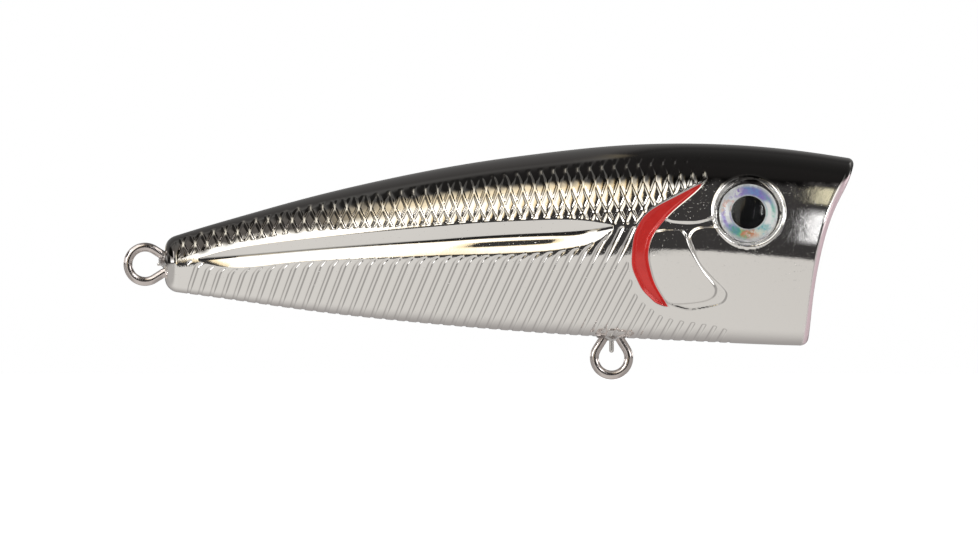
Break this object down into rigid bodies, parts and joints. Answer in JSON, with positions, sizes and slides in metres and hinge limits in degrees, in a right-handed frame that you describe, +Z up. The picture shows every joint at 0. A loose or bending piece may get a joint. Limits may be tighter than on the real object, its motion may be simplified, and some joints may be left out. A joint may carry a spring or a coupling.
{
  "type": "topwater popper lure",
  "caption": "Hollow two-piece fishing lure with a cupped mouth, domed eyes, wire eyes for line and hooks, a tail weight and loose rattle balls inside.",
  "frame": {"origin": "centre of the line-tie loop, in the bottom of the mouth cup, on the seam between the two body halves", "axes": "+X forward out of the mouth, +Z up towards the dark back, +Y to the lure's left"},
  "size_m": [0.085, 0.019, 0.0275],
  "materials": {
    "plated_body": "gloss",
    "hanger_wire": "satin",
    "ballast_metal": "satin",
    "ball_steel": "polished",
    "eye_foil": "gloss",
    "eye_pupil": "gloss",
    "eye_lens": "gloss"
  },
  "bodies": {
    "lure_body": {"body_left_half": "plated_body", "body_right_half": "plated_body", "rear_hanger": "hanger_wire", "belly_hanger": "hanger_wire", "line_tie_hanger": "hanger_wire", "tail_ballast": "ballast_metal", "left_eye_foil": "eye_foil", "right_eye_foil": "eye_foil", "left_eye_pupil": "eye_pupil", "right_eye_pupil": "eye_pupil", "left_eye_lens": "eye_lens", "right_eye_lens": "eye_lens"},
    "rear_rattle": {"rear_rattle_ball": "ball_steel"},
    "front_rattle": {"front_rattle_ball": "ball_steel"}
  },
  "joints": [
    {"name": "rear_rattle_slide", "type": "slide", "parent": "lure_body", "child": "rear_rattle", "axis": [1, 0, 0], "range_m": [-0.0037, 0.0037]},
    {"name": "front_rattle_slide", "type": "slide", "parent": "lure_body", "child": "front_rattle", "axis": [1, 0, 0], "range_m": [-0.0047, 0.0047]}
  ]
}
